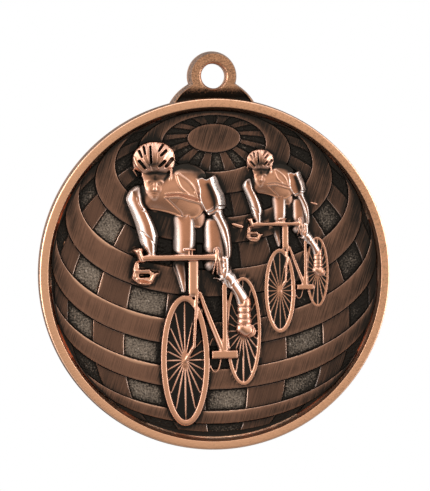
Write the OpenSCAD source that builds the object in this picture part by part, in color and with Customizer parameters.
// Sports finisher medal: a round relief medal with a hanging eyelet, a globe
// field of latitude bands and two racing cyclists in high relief.
//
// Frame: +Z is up towards the eyelet, the front faces -Y and +X is to the
// right as seen from the front. The origin is the centre of the eyelet hole,
// in the middle of the medal's thickness. Left and right in the names of the
// parts are as seen from the front.

/* [Medal] */
// Outside diameter of the disc
medal_d = 50; // [40:1:80]
// Thickness at the raised rim
medal_t = 4; // [3.6:0.1:5]
// Height of the rim above the sunk field
rim_h = 1.6; // [1.2:0.1:1.8]
// Width of the rim from the outer wall to the foot of its inner slope
rim_w = 2.05; // [1.8:0.05:2.6]
// Radius of the shallow recess in the back face
back_recess_r = 22.5; // [15:0.5:23]
// Depth of the recess in the back face
back_recess_depth = 0.3; // [0.1:0.05:0.6]

/* [Eyelet] */
// Diameter of the eyelet hole
hole_d = 3.5; // [3:0.1:4]
// Outside diameter of the eyelet ring at its foot
eyelet_d = 7.1; // [6.6:0.1:8]
// Distance from the centre of the disc to the centre of the eyelet hole
eyelet_rise = 28; // [27.6:0.1:29]
// Thickness of the eyelet ring
eyelet_t = 3; // [2.4:0.1:3.4]
// Countersink at both mouths of the hole
hole_chamfer = 0.35; // [0.1:0.05:0.5]
// Radius of the shoulder under the eyelet
shoulder_r = 7; // [6.5:0.1:7.5]

/* [Globe] */
// Angle by which the pole of the globe leans towards the front
globe_tilt = 32.8; // [20:0.1:45]
// Width of one latitude band
band_step = 9.27; // [8:0.01:10]
// Extra width of the last chequered band
last_band_extra = 2.9; // [0:0.1:4]
// Number of cells around each chequered band
cell_count = 24; // [12:2:36]
// Longitude at which the first cell starts
cell_start = -4; // [-15:0.5:15]
// Height of the plain bands above the field
band_h = 0.45; // [0.3:0.05:0.7]
// Height of the smooth cells above the field
smooth_cell_h = 0.25; // [0.15:0.05:0.4]
// Height of the stippled cells above the field
stipple_cell_h = 0.1; // [0.05:0.01:0.15]

/* [Riders] */
// Size of the rear rider, where the front rider is 1
rear_scale = 0.65; // [0.5:0.01:0.75]
// Number of spokes in each wheel
spoke_count = 18; // [12:2:24]
// Width of the front tyre
tyre_w = 0.85; // [0.6:0.05:1]
// Width of the rear tyre
rear_tyre_w = 0.58; // [0.4:0.02:0.8]

/* [Hidden] */
$fn = 64;

// Colours of the finish
COPPER = [0.76, 0.48, 0.36];
BRONZE = [0.42, 0.28, 0.21];
PATINA = [0.17, 0.14, 0.12];

// Disc
medal_r = medal_d / 2;
floor_t = medal_t - rim_h;
field_r = medal_r - rim_w;
rim_flat = 0.9;
rim_draft = 0.2;
rim_edge = 0.3;
slope_steps = 8;

// The globe is a little larger than the field, so that the rim frames it
globe_r = field_r + 0.25;
cap_bands = 1;
last_plain_band = 12;
last_band = 14;
arc_step = 3;
meridian_steps = 3;

// Eyelet, in the drawing frame
hole_r = hole_d / 2;
mouth_r = hole_r + hole_chamfer;
eyelet_r = eyelet_d / 2;
eyelet_back = -floor_t + 0.2;
lug_top = 0.4;
collar_top = eyelet_back + eyelet_t;
shoulder_y = 20.8;

// The rear rider stands up and to the right of the front one
rear_shift = [12.05, 5.39, 0];

// Largest thing that the cutting boxes have to span
far = 2 * medal_d;

// --- Frames ---------------------------------------------------------------

// The medal is drawn lying on its back: X right, Y up to the eyelet, Z up
// from the field floor, centred on the disc. This stands it up.
module medal_frame() {
    translate([0, medal_t / 2 - floor_t, -eyelet_rise])
        rotate([90, 0, 0])
            children();
}

// A piece of the front rider's group, seated on the field
module front_rider() {
    medal_frame()
        above_floor()
            children();
}

// The same piece in the rear rider's group
module rear_rider() {
    medal_frame()
        translate(rear_shift)
            scale(rear_scale)
                above_floor()
                    children();
}

module above_floor() {
    intersection() {
        children();
        translate([-far / 2, -far / 2, 0])
            cube([far, far, far]);
    }
}

// --- Drawing helpers ------------------------------------------------------

// A straight round bar between two points [x, y, height, radius]
module bar(p, q) {
    run = [q[0] - p[0], q[1] - p[1], q[2] - p[2]];
    reach = norm(run);
    translate([p[0], p[1], p[2]])
        rotate([0, acos(run[2] / reach), atan2(run[1], run[0])])
            cylinder(h = reach, r1 = p[3], r2 = q[3]);
}

// A limb: bars through the listed points with a slightly larger ball at each
module limb(points) {
    joint_growth = 0.02;
    for (i = [0 : len(points) - 1])
        translate([points[i][0], points[i][1], points[i][2]])
            sphere(r = points[i][3] + joint_growth);
    for (i = [1 : len(points) - 1])
        bar(points[i - 1], points[i]);
}

// A square ridge that stands on the field between two points [x, y]
module ridge(p, q, w, h) {
    run = q - p;
    translate([p[0], p[1], 0])
        rotate(atan2(run[1], run[0]))
            translate([0, -w / 2, 0])
                cube([norm(run), w, h]);
}

function ellipse(rx, ry, n = 72) =
    [for (i = [0 : n - 1]) [rx * cos(i * 360 / n), ry * sin(i * 360 / n)]];

// A flat elliptical ring of the given width
module oval_ring(rx, ry, w, h) {
    linear_extrude(h)
        difference() {
            polygon(ellipse(rx, ry));
            polygon(ellipse(rx - w, ry - w));
        }
}

// Spokes of a wheel seen at a slant: they crowd towards its long axis
module spokes(rx, ry, w, h) {
    hub_r = 0.55;
    for (i = [0 : spoke_count - 1]) {
        turn = i * 360 / spoke_count;
        aim = atan2(sqrt(ry) * cos(turn), sqrt(rx) * sin(turn));
        reach = 1 / norm([cos(aim) / rx, sin(aim) / ry]);
        rotate(aim)
            translate([0, -w / 2, 0])
                cube([reach, w, h]);
    }
    cylinder(h = 1.6 * h, r = hub_r);
}

module wheel(rx, ry, w, h) {
    spoke_w = 0.22;
    oval_ring(rx, ry, w, h);
    spokes(rx - w / 2, ry - w / 2, spoke_w, 0.55 * h);
}

// --- Disc -----------------------------------------------------------------

module back_plate() {
    color(BRONZE)
        medal_frame()
            difference() {
                rotate_extrude($fn = 180)
                    polygon([
                        [0, -floor_t],
                        [medal_r - rim_edge, -floor_t],
                        [medal_r, -floor_t + rim_edge],
                        [medal_r, 0],
                        [0, 0]
                    ]);
                translate([0, 0, -floor_t - 1])
                    cylinder(h = 1 + back_recess_depth, r = back_recess_r, $fn = 180);
            }
}

// Flat on top, with a broken outer edge and a hollow slope down to the field
module rim() {
    crown_r = medal_r - rim_draft - rim_edge;
    slope_w = crown_r - rim_flat - field_r;
    color(COPPER)
        medal_frame()
            rotate_extrude($fn = 180)
                polygon(concat(
                    [
                        [field_r, 0],
                        [medal_r, 0],
                        [medal_r - rim_draft, rim_h - 2 * rim_edge],
                        [crown_r, rim_h],
                        [crown_r - rim_flat, rim_h]
                    ],
                    [for (i = [1 : slope_steps - 1])
                        [
                            field_r + slope_w * cos(i * 90 / slope_steps),
                            rim_h * (1 - sin(i * 90 / slope_steps)) * 0.9
                        ]
                    ]
                ));
}

// --- Eyelet ---------------------------------------------------------------

module eyelet_hole() {
    translate([0, eyelet_rise, -far / 2])
        cylinder(h = far, r = hole_r);
}

// Flat lug that grows out of the disc's edge, with rounded shoulders
module eyelet_lug() {
    color(PATINA)
        medal_frame()
            difference() {
                union() {
                    translate([0, eyelet_rise, eyelet_back])
                        cylinder(h = lug_top - eyelet_back, r = eyelet_r);
                    translate([0, shoulder_y, eyelet_back])
                        cylinder(h = lug_top - eyelet_back, r = shoulder_r);
                }
                translate([0, 0, -far / 2])
                    cylinder(h = far, r = medal_r, $fn = 180);
                eyelet_hole();
                translate([0, eyelet_rise, eyelet_back])
                    cylinder(h = hole_chamfer, r1 = mouth_r, r2 = hole_r);
            }
}

// Raised collar round the hole on the front of the lug
module eyelet_collar() {
    collar_draft = 0.3;
    color(COPPER)
        medal_frame()
            difference() {
                translate([0, eyelet_rise, lug_top])
                    cylinder(
                        h = collar_top - lug_top,
                        r1 = eyelet_r - collar_draft / 2,
                        r2 = eyelet_r - collar_draft
                    );
                eyelet_hole();
                translate([0, eyelet_rise, collar_top - hole_chamfer])
                    cylinder(h = hole_chamfer, r1 = hole_r, r2 = mouth_r);
                translate([0, 0, -far / 2])
                    cylinder(h = far, r = medal_r, $fn = 180);
            }
}

// --- Globe field ----------------------------------------------------------

// Angle from the pole to the start of band k
function colatitude(k) = band_step * k + (k >= last_plain_band ? last_band_extra : 0);

// Where a point of the globe falls in the drawing plane
function on_globe(theta, phi) = globe_r * [
    sin(theta) * sin(phi),
    cos(theta) * cos(globe_tilt) - sin(theta) * cos(phi) * sin(globe_tilt)
];

// Half of the longitudes on which a parallel faces the front
function visible_half(theta) =
    let (c = -tan(globe_tilt) * cos(theta) / sin(theta))
    c <= -1 ? 180 : c >= 1 ? 0 : acos(c);

function seen(theta, phi) = max(-visible_half(theta), min(visible_half(theta), phi));

// Everything on the pole's side of a parallel. Past the horizon the outline
// follows the edge of the globe.
module polar_side(theta) {
    half = visible_half(theta);
    steps = ceil(2 * half / arc_step);
    arc = [for (i = [0 : steps - (half == 180 ? 1 : 0)]) on_globe(theta, -half + i * 2 * half / steps)];
    from = atan2(arc[len(arc) - 1][1], arc[len(arc) - 1][0]);
    to = 180 - from;
    over = half == 180 ? [] : [for (a = [from + arc_step : arc_step : to - 1]) globe_r * [cos(a), sin(a)]];
    polygon(concat(arc, over));
}

module latitude_band(k) {
    intersection() {
        difference() {
            polar_side(colatitude(k + 1));
            polar_side(colatitude(k));
        }
        circle(r = field_r, $fn = 180);
    }
}

// One cell of a chequered band, between two meridians
module cell(k, from) {
    top = colatitude(k);
    low = colatitude(k + 1);
    width = 360 / cell_count;
    steps = ceil(width / arc_step);
    upper = [for (i = [0 : steps]) on_globe(top, seen(top, from + i * width / steps))];
    lower = [for (i = [steps : -1 : 0]) on_globe(low, seen(low, from + i * width / steps))];
    side = [for (i = [1 : meridian_steps - 1]) top + i * (low - top) / meridian_steps];
    down = [for (t = side) on_globe(t, seen(t, from + width))];
    up = [for (i = [len(side) - 1 : -1 : 0]) on_globe(side[i], seen(side[i], from))];
    intersection() {
        polygon(concat(upper, down, lower, up));
        circle(r = field_r, $fn = 180);
    }
}

// Whether a cell between two meridians faces the front in band k
function faces_front(k, from) =
    let (
        width = 360 / cell_count,
        near = from + width / 2,
        middle = near > 180 ? near - 360 : near
    )
    abs(middle) < visible_half(colatitude(k + 1)) - width / 4;

// Cells alternate around each chequered band: phase 0 stippled, 1 smooth
module chequer(phase, h) {
    gap = 0.03;
    width = 360 / cell_count;
    for (k = [1 : 2 : last_band - 1])
        for (i = [phase : 2 : cell_count - 1]) {
            turn = cell_start + i * width;
            from = turn > 180 ? turn - 360 : turn;
            if (faces_front(k, from))
                linear_extrude(h)
                    offset(delta = -gap)
                        cell(k, from);
        }
}

module latitude_bands() {
    color(BRONZE)
        medal_frame()
            for (k = [2 : 2 : last_plain_band])
                linear_extrude(band_h)
                    latitude_band(k);
}

module smooth_cells() {
    color(BRONZE)
        medal_frame()
            chequer(1, smooth_cell_h);
}

module stippled_cells() {
    color(PATINA)
        medal_frame()
            chequer(0, stipple_cell_h);
}

module polar_cap() {
    color(BRONZE)
        medal_frame()
            linear_extrude(band_h)
                polar_side(colatitude(cap_bands));
}

// --- Rider: all of it drawn for the front rider ----------------------------
// A point is [x, y, height of its centre above the field, radius].

// A straight vent with round ends, cut down to a set height
module vent(p, q, r) {
    vent_floor = 1.3;
    run = q - p;
    for (end = [p, q])
        translate([end[0], end[1], vent_floor])
            cylinder(h = 2, r = r, $fn = 24);
    translate([p[0], p[1], vent_floor])
        rotate(atan2(run[1], run[0]))
            translate([0, -r, 0])
                cube([norm(run), 2 * r, 2]);
}

module helmet_shell() {
    limb([
        [-9.3, 16.3, -0.2, 2.45],
        [-7.95, 16.45, -0.2, 2.4]
    ]);
}

module helmet() {
    color(COPPER)
        difference() {
            helmet_shell();
            vent([-9.05, 16.0], [-9.1, 17.9], 0.16);
            vent([-10.6, 16.0], [-10.0, 15.2], 0.22);
            vent([-10.6, 17.5], [-10.3, 16.8], 0.17);
            vent([-9.95, 18.0], [-9.85, 17.2], 0.17);
            vent([-7.2, 16.0], [-7.9, 15.4], 0.22);
            vent([-6.3, 16.3], [-7.0, 15.5], 0.25);
            vent([-6.95, 17.5], [-7.6, 16.95], 0.2);
            vent([-7.4, 18.3], [-7.9, 17.6], 0.17);
        }
}

module head() {
    color(COPPER)
        difference() {
            limb([
                [-8.5, 13.9, 0.2, 1.65],
                [-8.4, 12.5, 0.3, 1.45],
                [-8.35, 11.4, 0.5, 1.0]
            ]);
            helmet_shell();
        }
}

module jersey() {
    color(COPPER) {
        limb([
            [-9.9, 11.2, -0.1, 1.5],
            [-6.4, 11.9, -0.6, 2.3],
            [-3.4, 12.9, -0.9, 2.75]
        ]);
        limb([
            [-6.8, 11.0, -0.5, 2.2],
            [-3.2, 9.2, -0.8, 2.5]
        ]);
    }
}

module left_arm() {
    color(COPPER)
        limb([
            [-11.3, 11.2, 0.3, 1.3],
            [-10.6, 8.2, 0.7, 1.45],
            [-9.6, 5.9, 0.9, 1.35],
            [-9.2, 3.7, 1.0, 0.95]
        ]);
}

module right_sleeve() {
    color(COPPER)
        limb([
            [-0.9, 12.5, 0.5, 1.5],
            [0.2, 10.0, 0.9, 1.35]
        ]);
}

module right_forearm() {
    color(COPPER)
        limb([
            [0.3, 8.7, 0.9, 1.1],
            [1.25, 6.2, 1.0, 1.1],
            [1.6, 3.8, 1.0, 0.85],
            [1.3, 2.8, 1.0, 0.7]
        ]);
}

module left_hand() {
    color(COPPER)
        limb([
            [-11.2, 0.3, 0.6, 0.8],
            [-10.3, -0.5, 0.8, 0.85],
            [-9.2, 0.0, 0.7, 0.75]
        ]);
}

module right_hand() {
    color(COPPER)
        limb([
            [0.95, 2.5, 1.0, 0.7],
            [0.75, 0.9, 0.9, 0.65],
            [0.9, -0.3, 0.9, 0.6]
        ]);
}

module left_thigh() {
    color(COPPER)
        limb([
            [-4.35, 8.0, -0.2, 1.75],
            [-4.3, 2.8, -0.1, 1.7]
        ]);
}

module left_shin() {
    color(COPPER)
        limb([
            [-4.9, 1.6, 0, 1.15],
            [-4.6, -2.2, -0.1, 0.75]
        ]);
}

module right_thigh() {
    color(COPPER)
        limb([
            [-0.2, 7.0, -0.5, 1.9],
            [0.1, 1.9, -0.5, 2.0]
        ]);
}

module right_shin() {
    color(COPPER)
        limb([
            [1.3, 0.3, 0.2, 1.35],
            [2.3, -1.4, 0.5, 1.25],
            [3.7, -3.3, 0.4, 1.15]
        ]);
}

// Ribs run round the ankle sock
module sock() {
    rib_count = 4;
    rib_pitch = 0.82;
    ankle_r = 1.02;
    color(COPPER) {
        bar([4.0, -4.0, 0.35, ankle_r], [4.0, -7.1, 0.35, ankle_r]);
        for (i = [0 : rib_count - 1])
            translate([4.0, -4.3 - i * rib_pitch, 0.35])
                rotate([90, 0, 0])
                    rotate_extrude()
                        translate([ankle_r - 0.1, 0])
                            circle(r = 0.27, $fn = 24);
    }
}

module shoe() {
    color(COPPER)
        limb([
            [4.0, -7.7, 0.4, 1.15],
            [4.75, -8.1, 0.3, 0.95]
        ]);
}

module saddle() {
    color(COPPER)
        bar([2.2, 6.85, 0.3, 0.4], [4.0, 6.7, 0.4, 0.55]);
}

module handlebar() {
    bar_h = 1.4;
    bar_r = 0.44;
    color(COPPER) {
        bar([-9.9, 2.45, bar_h, bar_r], [-0.3, 2.45, bar_h, bar_r]);
        ridge([-9.8, 2.45], [-0.4, 2.45], 1.6 * bar_r, bar_h);
        ridge([-10.0, 2.3], [-11.3, 1.2], 0.7, bar_h);
        ridge([-11.3, 1.5], [-11.5, -0.4], 0.7, 1.2);
    }
}

module left_brake() {
    color(COPPER)
        bar([-11.0, 3.9, 1.5, 0.85], [-10.3, 2.0, 1.4, 0.45]);
}

module right_brake() {
    color(COPPER) {
        limb([
            [0.1, 3.45, 1.7, 0.5],
            [0.1, 2.2, 1.6, 0.45]
        ]);
        for (tip = [-0.4, 0.1, 0.6])
            ridge([0.1 + tip / 4, 2.1], [tip, 0.1], 0.28, 1.6);
    }
}

module computer() {
    color(COPPER) {
        ridge([-4.45, 3.6], [-2.9, 3.6], 0.4, 1.9);
        for (x = [-3.8, -3.35])
            ridge([x, 2.7], [x, 3.6], 0.28, 1.7);
    }
}

module frame() {
    color(COPPER) {
        bar([-3.2, 2.1, 0.7, 0.78], [-3.2, -2.6, 0.7, 0.74]);
        bar([-2.6, -1.8, 0.65, 0.5], [0.85, -11.2, 0.65, 0.5]);
        bar([1.2, -1.9, 0.55, 0.45], [1.2, -11.6, 0.55, 0.45]);
    }
}

module fork() {
    blade_w = 0.52;
    color(COPPER) {
        ridge([-2.7, -2.4], [-3.15, -10.3], blade_w, 1.3);
        ridge([-3.15, -10.1], [-4.3, -12.1], blade_w, 1.1);
    }
}

module crank() {
    crank_h = 1.35;
    color(COPPER)
        translate([-0.8, -12.0, 0])
            cube([3.9, 1.35, crank_h]);
}

module chainring() {
    color(COPPER)
        translate([-0.2, -11.4, 0])
            oval_ring(1.05, 2.65, 0.38, 0.55);
}

module bike_front_wheel() {
    color(COPPER)
        translate([-4.45, -12.1, 0])
            wheel(3.5, 9.3, tyre_w, 1);
}

module bike_rear_wheel() {
    color(COPPER)
        translate([3.85, -8.1, 0])
            wheel(2.65, 7.8, rear_tyre_w, 0.75);
}

// --- Nodes ----------------------------------------------------------------

back_plate();
rim();
eyelet_lug();
eyelet_collar();
latitude_bands();
smooth_cells();
stippled_cells();
polar_cap();

front_rider() helmet();  // front_helmet
front_rider() head();  // front_head
front_rider() jersey();  // front_jersey
front_rider() left_arm();  // front_left_arm
front_rider() right_sleeve();  // front_right_sleeve
front_rider() right_forearm();  // front_right_forearm
front_rider() left_hand();  // front_left_hand
front_rider() right_hand();  // front_right_hand
front_rider() left_thigh();  // front_left_thigh
front_rider() left_shin();  // front_left_shin
front_rider() right_thigh();  // front_right_thigh
front_rider() right_shin();  // front_right_shin
front_rider() sock();  // front_sock
front_rider() shoe();  // front_shoe
front_rider() saddle();  // front_saddle
front_rider() handlebar();  // front_handlebar
front_rider() left_brake();  // front_left_brake
front_rider() right_brake();  // front_right_brake
front_rider() computer();  // front_computer
front_rider() frame();  // front_frame
front_rider() fork();  // front_fork
front_rider() crank();  // front_crank
front_rider() chainring();  // front_chainring
front_rider() bike_front_wheel();  // front_bike_front_wheel
front_rider() bike_rear_wheel();  // front_bike_rear_wheel

rear_rider() helmet();  // rear_helmet
rear_rider() head();  // rear_head
rear_rider() jersey();  // rear_jersey
rear_rider() left_arm();  // rear_left_arm
rear_rider() right_sleeve();  // rear_right_sleeve
rear_rider() right_forearm();  // rear_right_forearm
rear_rider() left_hand();  // rear_left_hand
rear_rider() right_hand();  // rear_right_hand
rear_rider() left_thigh();  // rear_left_thigh
rear_rider() left_shin();  // rear_left_shin
rear_rider() right_thigh();  // rear_right_thigh
rear_rider() right_shin();  // rear_right_shin
rear_rider() sock();  // rear_sock
rear_rider() shoe();  // rear_shoe
rear_rider() saddle();  // rear_saddle
rear_rider() handlebar();  // rear_handlebar
rear_rider() left_brake();  // rear_left_brake
rear_rider() right_brake();  // rear_right_brake
rear_rider() computer();  // rear_computer
rear_rider() frame();  // rear_frame
rear_rider() fork();  // rear_fork
rear_rider() crank();  // rear_crank
rear_rider() chainring();  // rear_chainring
rear_rider() bike_front_wheel();  // rear_bike_front_wheel
rear_rider() bike_rear_wheel();  // rear_bike_rear_wheel
